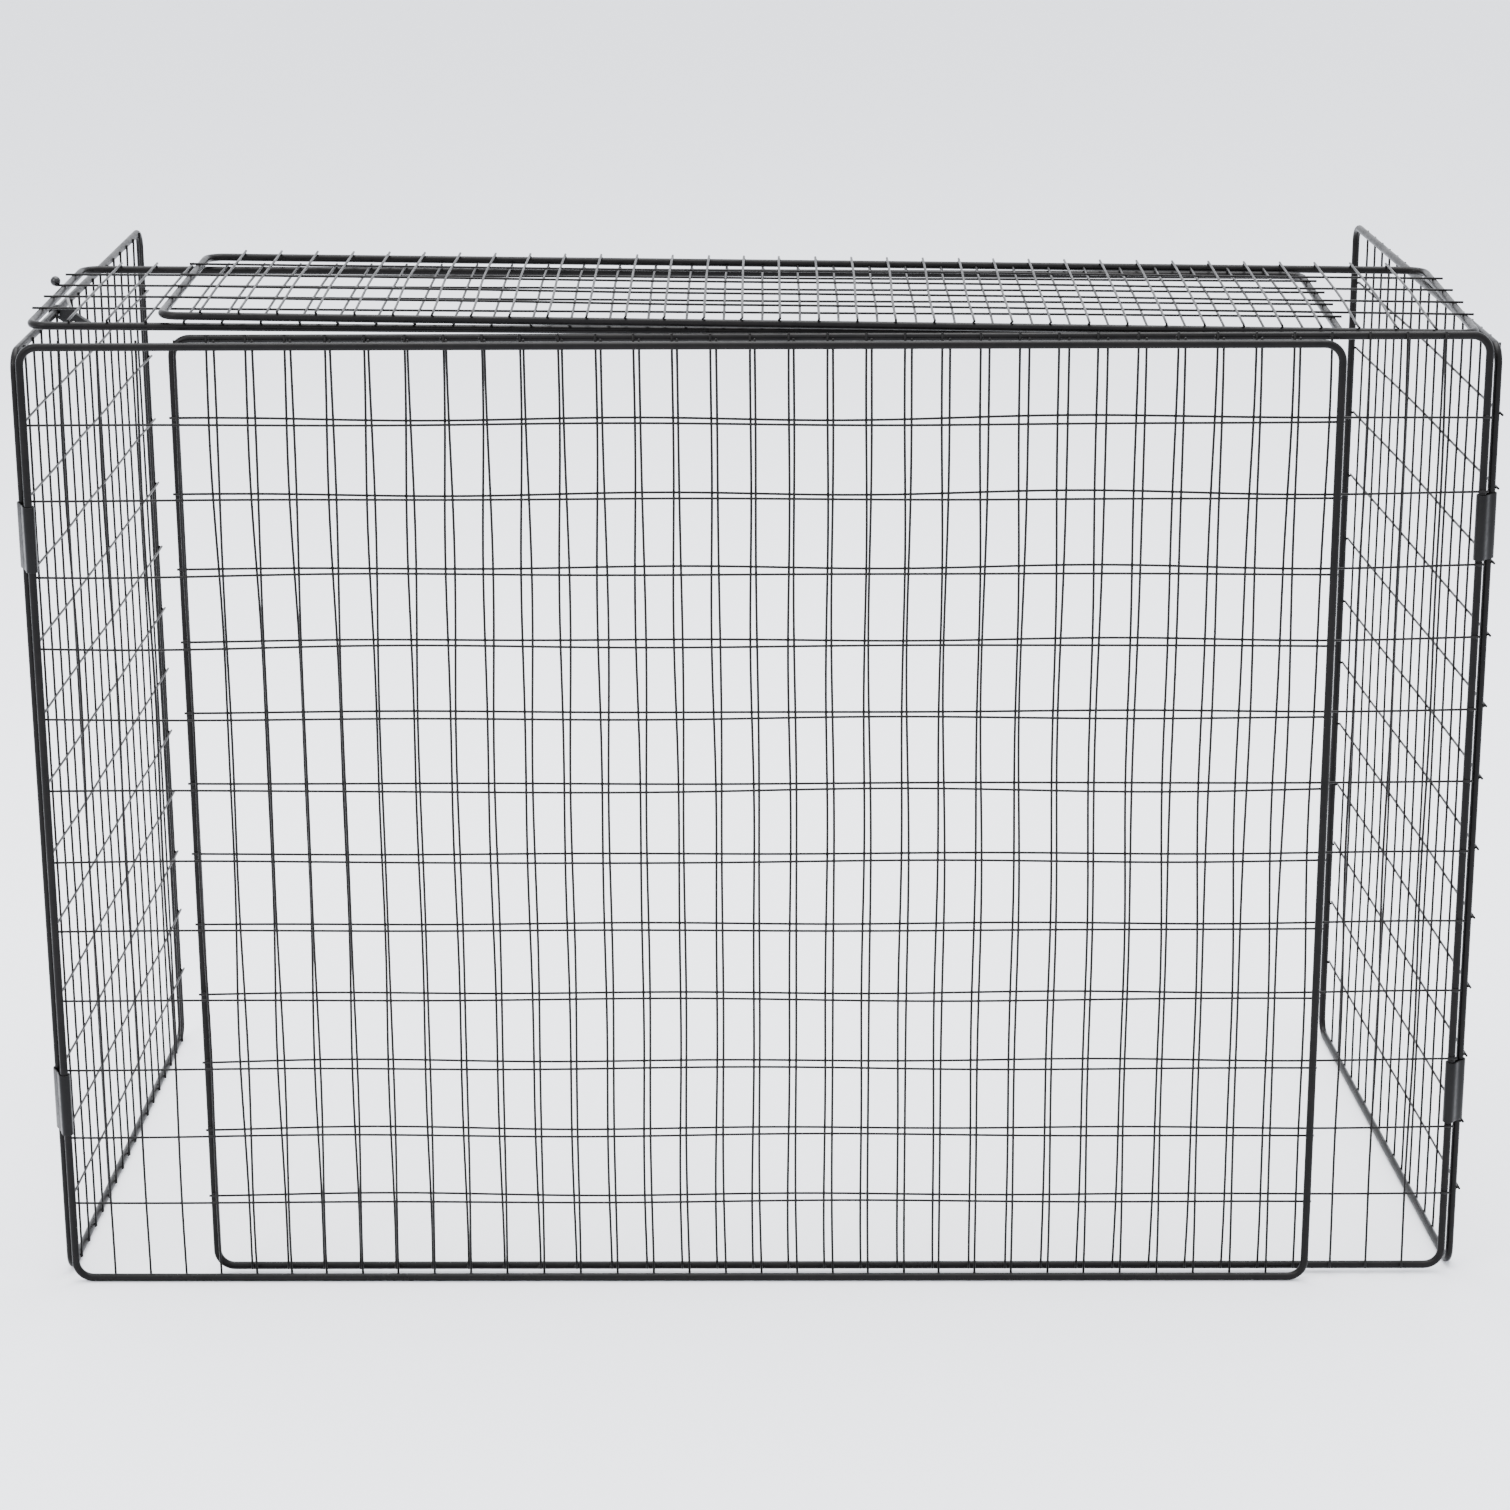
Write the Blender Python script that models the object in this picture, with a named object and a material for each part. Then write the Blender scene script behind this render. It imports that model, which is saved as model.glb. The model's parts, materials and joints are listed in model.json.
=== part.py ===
"""A folding, sliding enclosure of welded wire panels.

Two front panels lie one behind the other and slide along each other. A side panel hangs on the
free end of each, in two rolled sleeves. Two lid panels lie on top, one on the other, and a small
clip on the left side holds the lid. Metres, +Z up, the front faces -Y. Every panel is drawn in
its own XZ plane with its lower left rod corner at the origin, then placed.
"""

import math

import bmesh
import bpy
from mathutils import Matrix, Vector

# Stock.
ROD = 0.0055  # rim rod, across its flats
WIRE_REACH = 0.00106  # mesh wire, from its centre to a corner
ROD_BEND = 0.012  # radius of a rim corner, at the rod's centre
BEND_STEPS = 4

# Mesh pitches.
PITCH_UPRIGHT = 0.0254
PITCH_CROSS = 0.0508
PITCH_LID = 0.043

# Panels, centre to centre of the rim rods.
FRONT_WIDTH = 0.866
FRONT_HEIGHT = 0.6687
SIDE_DEPTH = 0.442
SIDE_DROP = 0.0072  # a side panel is this much lower than the front panels
LID_DEPTH = 0.214
SLIDE_OFFSET = 0.0983  # how far the right front panel stands out past the left one
RIGHT_RAISE = 0.0025  # the right front panel hangs this far off the floor

# Where each side panel's hinge rod stands from its front panel's end rod, and its toe-in.
LEFT_HINGE = (-0.0063, 0.014)
RIGHT_HINGE = (0.007, 0.0066)
LEFT_TOE_IN = math.radians(1.8)
RIGHT_TOE_IN = math.radians(4.2)

# Sleeves.
SLEEVE_HEIGHT = 0.045
SLEEVE_WALL = 0.0009
SLEEVE_ROWS = {"lower": 1, "upper": -3}  # each stands between this cross wire and the next
SLEEVE_STEPS = 6

# Lids.
LID_RISE = 0.0083  # left lid's rod over the left front panel's top rod, at its left end
LID_START = 0.0025  # left lid's end rod, in from the front panel's end rod
LID_FALL = math.radians(0.52)
RIGHT_LID_START = 0.0905

# Clip.
CLIP_SLOT = 5  # it stands in the gap before this upright of the left side, counted from 0
CLIP_WIDTH = 0.006
CLIP_GRIP_WALL = 0.0016
CLIP_STRAP = (0.0045, 0.001, 0.0095)  # width, thickness, height over the body's slot
STRAP_SEAT = 0.003  # how deep the strap stands in the body
STRAP_LEAN = math.radians(14)
PIN_RADIUS = 0.0009
PIN_OVERHANG = 0.0008
BALL_RADIUS = 0.0035
BALL_STAND = 0.00275  # its centre past the outside of the lid's end rod

# Clearances.
GAP = 0.0003  # between neighbours that touch on the real object
SLIDE_GAP = 0.0005  # between panels that slide past each other
WELD = 0.0005  # how far crossing wires sink into each other
WIRE_END = 0.0005  # how far wire ends stand past the rods
LID_WIRE_END = 0.003  # the same for the lids' long wires
LAST_ROOM = 0.008  # least distance of a panel's last wire from the rod after it

# Where the first wires lie, from each panel's lower left rods.
FIRST_ROW = 0.05615
FRONT_LEFT_FIRST = 0.0256
FRONT_RIGHT_FIRST = 0.0246
LEFT_SIDE_FIRST = 0.0215
RIGHT_SIDE_FIRST = 0.010
LID_FIRST = 0.0266
LID_LONG_FIRST = 0.047
RIGHT_LID_LONG_FIRST = 0.051

# Sizes that follow.
SIDE_HEIGHT = FRONT_HEIGHT - SIDE_DROP
LID_HEIGHT = FRONT_HEIGHT + LID_RISE
HALF_ROD = ROD / 2
ROD_REACH = HALF_ROD / math.cos(math.pi / 8)
INNER_LAYER = HALF_ROD + GAP + WIRE_REACH
OUTER_LAYER = INNER_LAYER + 2 * WIRE_REACH - WELD
MESH_TOP = OUTER_LAYER + WIRE_REACH
BORE = ROD_REACH + GAP  # inner radius of whatever turns on a rod
RIGHT_PLANE = 2 * MESH_TOP + SLIDE_GAP
RIGHT_LID_FRONT = RIGHT_PLANE + ROD + SLIDE_GAP
LID_FRONT = RIGHT_LID_FRONT + ROD + GAP + WIRE_END
RIGHT_LID_DEPTH = LID_DEPTH + 2 * (ROD + GAP + WIRE_END)

BLACK = (0.02, 0.019, 0.02, 1)
STEEL = (0.45, 0.45, 0.44, 1)


def clear_scene():
    for obj in list(bpy.data.objects):
        bpy.data.objects.remove(obj, do_unlink=True)


def collection(name):
    made = bpy.data.collections.get(name)
    if made is None:
        made = bpy.data.collections.new(name)
        bpy.context.scene.collection.children.link(made)
    return made


def finish(obj, colour, metallic, roughness):
    material = bpy.data.materials.new(obj.name)
    material.use_nodes = True
    shader = material.node_tree.nodes["Principled BSDF"]
    shader.inputs["Base Color"].default_value = colour
    shader.inputs["Metallic"].default_value = metallic
    shader.inputs["Roughness"].default_value = roughness
    obj.data.materials.append(material)


def node(name, data, frame, place=None, colour=BLACK, metallic=0.0, roughness=0.4):
    obj = bpy.data.objects.new(name, data)
    collection(name).objects.link(obj)
    obj.parent = frame
    obj.matrix_local = place or Matrix()
    finish(obj, colour, metallic, roughness)
    return obj


def helper(name, data, frame, place=None):
    """An object that only takes part in a Boolean."""
    obj = bpy.data.objects.new(name, data)
    collection("cutters").objects.link(obj)
    obj.parent = frame
    obj.matrix_local = place or Matrix()
    obj.hide_render = True
    obj.display_type = "WIRE"
    return obj


def combine(obj, other, operation):
    modifier = obj.modifiers.new(operation.lower(), "BOOLEAN")
    modifier.operation = operation
    modifier.solver = "EXACT"
    modifier.object = other


def empty(name, place, parent=None):
    obj = bpy.data.objects.new(name, None)
    bpy.context.scene.collection.objects.link(obj)
    obj.parent = parent
    obj.matrix_local = place
    return obj


def shift(x, y, z):
    return Matrix.Translation((x, y, z))


def turn(angle, axis):
    return Matrix.Rotation(angle, 4, axis)


# Curves and outlines.


def rod_curve(name, lines, reach, sides, tilt, cyclic=False):
    """Straight-sided rods along lines, each a list of points."""
    curve = bpy.data.curves.new(name, "CURVE")
    curve.dimensions = "3D"
    curve.bevel_depth = reach
    curve.bevel_resolution = (sides - 4) // 2
    curve.use_fill_caps = True
    for line in lines:
        spline = curve.splines.new("POLY")
        spline.points.add(len(line) - 1)
        spline.use_cyclic_u = cyclic
        for point, place in zip(spline.points, line):
            point.co = (*place, 1)
            point.tilt = tilt
    return curve


def as_mesh(curve):
    """The mesh of a curve, with its caps sewn on."""
    carrier = bpy.data.objects.new(curve.name, curve)
    bpy.context.scene.collection.objects.link(carrier)
    graph = bpy.context.evaluated_depsgraph_get()
    mesh = bpy.data.meshes.new_from_object(carrier.evaluated_get(graph))
    bpy.data.objects.remove(carrier, do_unlink=True)
    sewn = bmesh.new()
    sewn.from_mesh(mesh)
    bmesh.ops.remove_doubles(sewn, verts=sewn.verts, dist=1e-6)
    bmesh.ops.recalc_face_normals(sewn, faces=sewn.faces)
    sewn.to_mesh(mesh)
    sewn.free()
    return mesh


def arc(centre, radius, start, sweep, steps):
    """Points (x, z) along an arc, both ends included. Angles in degrees."""
    points = []
    for i in range(steps + 1):
        angle = math.radians(start + sweep * i / steps)
        points.append((centre[0] + radius * math.cos(angle), centre[1] + radius * math.sin(angle)))
    return points


def prism(name, outline, along):
    """A solid from an outline in XZ, half of its length to each side of the plane."""
    made = bmesh.new()
    front = [made.verts.new((x, -along / 2, z)) for x, z in outline]
    back = [made.verts.new((x, along / 2, z)) for x, z in outline]
    made.faces.new(front)
    made.faces.new(list(reversed(back)))
    for i in range(len(outline)):
        j = (i + 1) % len(outline)
        made.faces.new((front[j], front[i], back[i], back[j]))
    bmesh.ops.recalc_face_normals(made, faces=made.faces)
    mesh = bpy.data.meshes.new(name)
    made.to_mesh(mesh)
    made.free()
    return mesh


def cylinder(name, radius, length, sides, axis):
    made = bmesh.new()
    bmesh.ops.create_cone(
        made, cap_ends=True, segments=sides, radius1=radius, radius2=radius, depth=length
    )
    mesh = bpy.data.meshes.new(name)
    made.to_mesh(mesh)
    made.free()
    mesh.transform(Vector((0, 0, 1)).rotation_difference(Vector(axis)).to_matrix().to_4x4())
    return mesh


# Panels.


def rim_line(width, height):
    corners = (
        (width - ROD_BEND, ROD_BEND, -90),
        (width - ROD_BEND, height - ROD_BEND, 0),
        (ROD_BEND, height - ROD_BEND, 90),
        (ROD_BEND, ROD_BEND, 180),
    )
    points = []
    for x, z, start in corners:
        points += arc((x, z), ROD_BEND, start, 90, BEND_STEPS)
    return [(x, 0, z) for x, z in points]


def wire_places(size, pitch, first):
    """Wire places from the first one on, as many as fit."""
    count = math.floor((size - first - LAST_ROOM) / pitch) + 1
    return [first + i * pitch for i in range(count)]


def upright_line(x, height, y):
    """Upright wires stop short of the floor and stand a little past the top rod."""
    return [(x, y, WIRE_END - HALF_ROD), (x, y, height + HALF_ROD + WIRE_END)]


def cross_line(z, width, y, end):
    return [(-HALF_ROD - end, y, z), (width + HALF_ROD + end, y, z)]


def panel(name, frame, size, pitch, first, face, uprights_outside=True, end=WIRE_END):
    """A rim and its mesh.

    face is 1 for a mesh behind the rim and -1 for one in front of it. The uprights lie on the
    cross wires, or between them and the rim. end is how far the cross wires stand out.
    """
    width, height = size
    rim = rod_curve(name + "_rim", [rim_line(width, height)], ROD_REACH, 8, math.pi / 8, True)
    node(name + "_rim", rim, frame)
    levels = (INNER_LAYER, OUTER_LAYER) if uprights_outside else (OUTER_LAYER, INNER_LAYER)
    cross_y, upright_y = (face * level for level in levels)
    rows = [cross_line(z, width, cross_y, end) for z in wire_places(height, pitch[1], first[1])]
    columns = [upright_line(x, height, upright_y) for x in wire_places(width, pitch[0], first[0])]
    cross = as_mesh(rod_curve(name + "_cross", rows, WIRE_REACH, 4, 0))
    uprights = as_mesh(rod_curve(name + "_uprights", columns, WIRE_REACH, 4, 0))
    mesh = node(name + "_mesh", cross, frame)
    combine(mesh, helper(name + "_uprights", uprights, frame), "UNION")


# Sleeves.


def oval(first, second, radius, steps):
    """An outline at this distance round two points."""
    heading = math.degrees(math.atan2(second[1] - first[1], second[0] - first[0]))
    return arc(second, radius, heading - 90, 180, steps) + arc(
        first, radius, heading + 90, 180, steps
    )


def sleeve(name, frame, rod, hinge, z):
    """A sheet rolled round the front panel's end rod and the side panel's hinge rod."""
    made = bmesh.new()
    rings = []
    for radius in (BORE, BORE + SLEEVE_WALL):
        outline = oval(rod, hinge, radius, SLEEVE_STEPS)
        for height in (z - SLEEVE_HEIGHT / 2, z + SLEEVE_HEIGHT / 2):
            rings.append([made.verts.new((x, y, height)) for x, y in outline])
    inner_low, inner_high, outer_low, outer_high = rings
    for a, b in (
        (inner_low, outer_low),
        (outer_low, outer_high),
        (outer_high, inner_high),
        (inner_high, inner_low),
    ):
        for i in range(len(a)):
            j = (i + 1) % len(a)
            made.faces.new((a[i], a[j], b[j], b[i]))
    bmesh.ops.recalc_face_normals(made, faces=made.faces)
    mesh = bpy.data.meshes.new(name)
    made.to_mesh(mesh)
    made.free()
    node(name, mesh, frame, roughness=0.35)


def sleeves(side, frame, rod_x, hinge):
    rows = wire_places(FRONT_HEIGHT, PITCH_CROSS, FIRST_ROW)
    for level, row in SLEEVE_ROWS.items():
        z = (rows[row] + rows[row + 1]) / 2
        sleeve(f"{side}_{level}_sleeve", frame, (rod_x, 0), (rod_x + hinge[0], hinge[1]), z)


# Clip: drawn round the rod, X inboard and Z up, its length along Y.


def clip_outline():
    """A hook that grips the rod from above, with a block inboard of it that ends in a nose."""
    outer = BORE + CLIP_GRIP_WALL
    block = [(0.0085, -0.0100), (0.0140, -0.0100), (0.0235, -0.0075), (0.0140, -0.0008)]
    block += [(0.0128, 0.0030), (0.0070, 0.0030)]
    return (
        arc((0, 0), BORE, 215, -305, 14)
        + arc((0, 0), outer, -90, 25, 1)
        + block
        + arc((0, 0), outer, 50, 165, 8)
    )


def clip(frame):
    body = node("lid_clip_body", prism("lid_clip_body", clip_outline(), CLIP_WIDTH), frame)
    seat = shift(0.0103, 0, 0.0030) @ turn(-STRAP_LEAN, "Y")
    width, thick, height = CLIP_STRAP
    slot_size = (thick + 2 * GAP, STRAP_SEAT + GAP)
    slot = prism("strap_slot", box_outline(*slot_size, slot_size[1]), width + 2 * GAP)
    combine(body, helper("strap_slot", slot, frame, seat), "DIFFERENCE")
    hole = cylinder("pin_hole", PIN_RADIUS + GAP, 2 * CLIP_WIDTH, 12, (0, 1, 0))
    at_pin = shift(0.0125, 0, -0.0066)
    combine(body, helper("pin_hole", hole, frame, at_pin), "DIFFERENCE")
    strap = prism("lid_clip_strap", box_outline(thick, STRAP_SEAT, height), width)
    node("lid_clip_strap", strap, frame, seat, STEEL, 1.0, 0.45)
    pin = cylinder("lid_clip_pin", PIN_RADIUS, CLIP_WIDTH + 2 * PIN_OVERHANG, 12, (0, 1, 0))
    node("lid_clip_pin", pin, frame, at_pin, STEEL, 1.0, 0.35)


def box_outline(thick, below, above):
    half = thick / 2
    return [(-half, -below), (half, -below), (half, above), (-half, above)]


def ball(frame, depth):
    """The knob on the end of the left lid's long wire, drawn in the lid's own plane."""
    made = bmesh.new()
    bmesh.ops.create_uvsphere(made, u_segments=12, v_segments=8, radius=BALL_RADIUS)
    mesh = bpy.data.meshes.new("lid_clip_ball")
    made.to_mesh(mesh)
    made.free()
    place = shift(-HALF_ROD - BALL_STAND, -INNER_LAYER, depth)
    knob = node("lid_clip_ball", mesh, frame, place, roughness=0.25)
    reach = LID_WIRE_END - BALL_STAND + GAP  # how far past the ball's centre the hole goes
    hole = cylinder("ball_hole", WIRE_REACH + GAP, 2 * BALL_RADIUS, 8, (1, 0, 0))
    at_hole = place @ shift(BALL_RADIUS - reach, 0, 0)
    combine(knob, helper("ball_hole", hole, frame, at_hole), "DIFFERENCE")


def front_panels(assembly):
    pitch = (PITCH_UPRIGHT, PITCH_CROSS)
    size = (FRONT_WIDTH, FRONT_HEIGHT)
    left = empty("front_left", Matrix(), assembly)
    right = empty("front_right", shift(SLIDE_OFFSET, RIGHT_PLANE, RIGHT_RAISE), assembly)
    panel("front_left", left, size, pitch, (FRONT_LEFT_FIRST, FIRST_ROW), 1)
    panel("front_right", right, size, pitch, (FRONT_RIGHT_FIRST, FIRST_ROW), -1)
    sleeves("left", left, 0, LEFT_HINGE)
    sleeves("right", right, FRONT_WIDTH, RIGHT_HINGE)


def side_panels(assembly):
    pitch = (PITCH_UPRIGHT, PITCH_CROSS)
    size = (SIDE_DEPTH, SIDE_HEIGHT)
    left_place = shift(*LEFT_HINGE, 0) @ turn(math.pi / 2 - LEFT_TOE_IN, "Z")
    right_corner = (SLIDE_OFFSET + FRONT_WIDTH + RIGHT_HINGE[0], RIGHT_PLANE + RIGHT_HINGE[1], 0)
    right_place = shift(*right_corner) @ turn(math.pi / 2 + RIGHT_TOE_IN, "Z")
    left = empty("left_side", left_place, assembly)
    right = empty("right_side", right_place, assembly)
    panel("left_side", left, size, pitch, (LEFT_SIDE_FIRST, FIRST_ROW), -1, False)
    right_first = (RIGHT_SIDE_FIRST, FIRST_ROW + RIGHT_RAISE)
    panel("right_side", right, size, pitch, right_first, -1, False)
    uprights = wire_places(SIDE_DEPTH, PITCH_UPRIGHT, LEFT_SIDE_FIRST)
    along = (uprights[CLIP_SLOT - 1] + uprights[CLIP_SLOT]) / 2
    clip(empty("lid_clip", shift(along, 0, SIDE_HEIGHT) @ turn(-math.pi / 2, "Z"), left))


def lids(assembly):
    pitch = (PITCH_UPRIGHT, PITCH_LID)
    flat = turn(-math.pi / 2, "X")
    apart = RIGHT_LID_START - LID_START
    over_left_end = LID_HEIGHT - apart * math.tan(LID_FALL) + MESH_TOP + HALF_ROD + GAP
    left_lid_end = LID_HEIGHT - FRONT_WIDTH * math.tan(LID_FALL)
    over_right_end = left_lid_end + MESH_TOP + SLIDE_GAP - (INNER_LAYER - WIRE_REACH)
    fall = math.atan2(over_left_end - over_right_end, FRONT_WIDTH - apart)
    left_place = shift(LID_START, LID_FRONT, LID_HEIGHT) @ turn(LID_FALL, "Y") @ flat
    right_place = shift(RIGHT_LID_START, RIGHT_LID_FRONT, over_left_end) @ turn(fall, "Y") @ flat
    left = empty("lid_left", left_place, assembly)
    right = empty("lid_right", right_place, assembly)
    size = (FRONT_WIDTH, LID_DEPTH)
    panel("lid_left", left, size, pitch, (LID_FIRST, LID_LONG_FIRST), -1, end=LID_WIRE_END)
    size = (FRONT_WIDTH, RIGHT_LID_DEPTH)
    right_first = (LID_FIRST, RIGHT_LID_LONG_FIRST)
    panel("lid_right", right, size, pitch, right_first, -1, end=LID_WIRE_END)
    ball(left, wire_places(LID_DEPTH, PITCH_LID, LID_LONG_FIRST)[-2])


def bounds():
    """The low and high corner of all that renders."""
    bpy.context.view_layer.update()
    graph = bpy.context.evaluated_depsgraph_get()
    low, high = Vector((1e9,) * 3), Vector((-1e9,) * 3)
    for obj in bpy.context.scene.objects:
        if obj.type == "EMPTY" or obj.hide_render:
            continue
        shape = obj.evaluated_get(graph)
        mesh = shape.to_mesh()
        for vertex in mesh.vertices:
            place = shape.matrix_world @ vertex.co
            low = Vector(map(min, low, place))
            high = Vector(map(max, high, place))
        shape.to_mesh_clear()
    return low, high


def main():
    clear_scene()
    assembly = empty("assembly", Matrix())
    front_panels(assembly)
    side_panels(assembly)
    lids(assembly)
    low, high = bounds()
    assembly.location = (-(low.x + high.x) / 2, -(low.y + high.y) / 2, -low.z)
    bpy.context.view_layer.update()


main()
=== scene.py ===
"""A folding dog enclosure of black coated wire: the finished look over its CAD frame."""

import json
import logging
import math
from dataclasses import dataclass
from enum import Enum

import bpy
import numpy as np
from mathutils import Matrix, Vector


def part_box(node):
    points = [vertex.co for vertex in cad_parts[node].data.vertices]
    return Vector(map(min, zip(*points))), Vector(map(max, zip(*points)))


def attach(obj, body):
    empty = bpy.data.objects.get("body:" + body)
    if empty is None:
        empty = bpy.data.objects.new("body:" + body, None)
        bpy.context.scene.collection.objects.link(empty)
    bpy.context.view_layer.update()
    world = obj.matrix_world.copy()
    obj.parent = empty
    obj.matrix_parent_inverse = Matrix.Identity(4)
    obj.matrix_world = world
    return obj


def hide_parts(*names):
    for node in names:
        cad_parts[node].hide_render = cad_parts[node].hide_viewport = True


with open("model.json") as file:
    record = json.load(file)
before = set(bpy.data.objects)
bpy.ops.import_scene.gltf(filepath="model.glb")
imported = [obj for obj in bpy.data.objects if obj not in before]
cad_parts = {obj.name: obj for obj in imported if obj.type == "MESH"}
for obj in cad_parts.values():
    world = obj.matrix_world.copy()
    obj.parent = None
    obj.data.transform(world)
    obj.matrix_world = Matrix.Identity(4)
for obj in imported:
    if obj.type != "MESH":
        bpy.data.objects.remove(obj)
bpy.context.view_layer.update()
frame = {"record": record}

LOG = logging.getLogger("enclosure")

Surface = tuple[np.ndarray, list]  # points and faces
Value = float | bpy.types.NodeSocket

# Rods and wires, in metres.
RIM_RADIUS = 0.00275
WIRE_RADIUS = 0.00086
FLAT = 0.002737  # from a CAD rod's centre to its flat
BEND = 0.012  # of the rod at a panel's corner
ROD_SINK = 0.0005  # how deep a wire's weld sinks into the rod
WIRE_SINK = 0.0006  # how deep one wire's weld sinks into the other

# Panels between rod centres, and their meshes, in metres.
FRONT_WIDTH, FRONT_HEIGHT = 0.866, 0.6687
SIDE_DEPTH, SIDE_HEIGHT = 0.442, 0.6615
LOWER_LID_DEPTH = 0.214
PITCH_WIDE, PITCH_HIGH, PITCH_LID = 0.0254, 0.0508, 0.043
LAST_ROOM = 0.008  # the least from the last wire to the rod
WIRE_STEP = 0.016  # between the points along a wire
CROSS_WELD = (0.00125, 0.0009, 0.00125)
SIDE_WELD = (0.0013, 0.0008, 0.001)
FOOT_WELD = (0.001, 0.0008, 0.0013)


class WeldSide(Enum):
    """The face of the rim that a panel's mesh is welded to."""

    FRONT = -1
    BACK = 1


# Surfaces.


def sweep(path: np.ndarray, first: np.ndarray, second: np.ndarray, profile: np.ndarray,
          closed: bool = False) -> Surface:
    """Carries profiles along paths.

    A point is path + u * first + v * second, for each (u, v) of the profile. The profile may
    change along the path.

    Args:
        path: Points, shape (paths, rings, 3).
        first: The profile's u direction, broadcast to the path's shape.
        second: The profile's v direction, broadcast to the path's shape.
        profile: (u, v) pairs, shape (sides, 2) or (rings, sides, 2).
        closed: Whether each path returns to its start.

    Returns:
        Points and faces, the open ends capped.
    """
    count, rings, _ = path.shape
    shape = np.broadcast_to(profile, (rings,) + profile.shape[-2:])
    sides = shape.shape[1]
    u = np.broadcast_to(first, path.shape)[:, :, None, :]
    v = np.broadcast_to(second, path.shape)[:, :, None, :]
    points = path[:, :, None, :] + shape[None, :, :, :1] * u + shape[None, :, :, 1:] * v
    index = np.arange(count * rings * sides).reshape(count, rings, sides)
    ahead = np.roll(index, -1, axis=1) if closed else index[:, 1:]
    here = index if closed else index[:, :-1]
    quads = np.stack([here, np.roll(here, -1, 2), np.roll(ahead, -1, 2), ahead], -1)
    faces = quads.reshape(-1, 4).tolist()
    if not closed:
        faces += index[:, 0, ::-1].tolist() + index[:, -1].tolist()
    return points.reshape(-1, 3), faces


def circle(radius: float, sides: int) -> np.ndarray:
    """Points radius * (cos a, sin a) for even steps of a, shape (sides, 2)."""
    angle = np.arange(sides) * 2 * np.pi / sides
    return radius * np.stack([np.cos(angle), np.sin(angle)], -1)


def rounded_box(width: float, height: float, radius: float, steps: int) -> np.ndarray:
    """A rectangle whose corners are quarter circles: centre + radius * (cos a, sin a).

    Args:
        width: Its size in u.
        height: Its size in v.
        radius: Of the corners.
        steps: Sides in each corner.

    Returns:
        Points, shape (4 * (steps + 1), 2), counter-clockwise.
    """
    arcs = []
    for x, y, start in ((1, -1, -90), (1, 1, 0), (-1, 1, 90), (-1, -1, 180)):
        angle = np.radians(start + np.linspace(0, 90, steps + 1))
        centre = np.array([x * (width / 2 - radius), y * (height / 2 - radius)])
        arcs.append(centre + radius * np.stack([np.cos(angle), np.sin(angle)], -1))
    return np.concatenate(arcs)


def blobs(centres: np.ndarray, radii: tuple[float, float, float]) -> Surface:
    """Small closed ellipsoids: centre + radii * (sin t cos p, sin t sin p, cos t).

    Args:
        centres: Shape (count, 3).
        radii: Half sizes along the three axes.

    Returns:
        Points and faces.
    """
    sides = 6
    t = np.radians([45, 90, 135])[:, None]
    p = np.arange(sides)[None] * 2 * np.pi / sides
    ball = np.stack([np.sin(t) * np.cos(p), np.sin(t) * np.sin(p), np.cos(t) + 0 * p], -1)
    ball = np.concatenate([ball.reshape(-1, 3), [[0, 0, 1], [0, 0, -1]]]) * radii
    low = 2 * sides  # the lowest ring's first point
    top, bottom = 3 * sides, 3 * sides + 1
    faces = []
    for i in range(sides):
        j = (i + 1) % sides
        faces += [[top, i, j], [bottom, low + j, low + i]]
        faces += [[k + i, k + sides + i, k + sides + j, k + j] for k in (0, sides)]
    points = (centres[:, None] + ball[None]).reshape(-1, 3)
    each = len(ball)
    return points, [[c * each + k for k in face] for c in range(len(centres)) for face in faces]


def join(shells: list[Surface]) -> Surface:
    """Several surfaces as one, each face list shifted past the points before it.

    Args:
        shells: The surfaces, in order.

    Returns:
        Points and faces.
    """
    points, faces, base = [], [], 0
    for shell_points, shell_faces in shells:
        points.append(shell_points)
        faces += [[base + k for k in face] for face in shell_faces]
        base += len(shell_points)
    return np.concatenate(points), faces


def waves(u: np.ndarray, v: np.ndarray, seed: int, length: float) -> np.ndarray:
    """A smooth field between about -1 and 1: a scaled sum of six sines of random headings.

    Args:
        u: First coordinate, in metres.
        v: Second coordinate, in metres.
        seed: Chooses the field.
        length: The typical wavelength, in metres.

    Returns:
        The field at each point.
    """
    rng = np.random.default_rng(seed)
    total = np.zeros(np.broadcast(u, v).shape)
    for _ in range(6):
        heading, phase = rng.uniform(0, 2 * np.pi, 2)
        k = 2 * np.pi / (length * rng.uniform(0.6, 1.7))
        total = total + np.sin(k * (np.cos(heading) * u + np.sin(heading) * v) + phase)
    return total / 3.2


def piece(name: str, points: np.ndarray, faces: list, place: Matrix,
          material: bpy.types.Material, smooth_under: float = 50) -> bpy.types.Object:
    """A mesh object whose place is in its mesh.

    Args:
        name: The piece's name.
        points: Shape (count, 3), before placing.
        faces: Lists of point numbers.
        place: Where it goes.
        material: Its finish.
        smooth_under: Edges that turn less than this many degrees are shaded smooth.

    Returns:
        The object.
    """
    matrix = np.array(place)
    placed = points @ matrix[:3, :3].T + matrix[:3, 3]
    mesh = bpy.data.meshes.new(name)
    mesh.from_pydata(placed.tolist(), [], faces)
    mesh.polygons.foreach_set("use_smooth", np.ones(len(faces), bool))
    mesh.set_sharp_from_angle(angle=math.radians(smooth_under))
    mesh.materials.append(material)
    obj = bpy.data.objects.new(name, mesh)
    bpy.context.scene.collection.objects.link(obj)
    return obj


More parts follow.
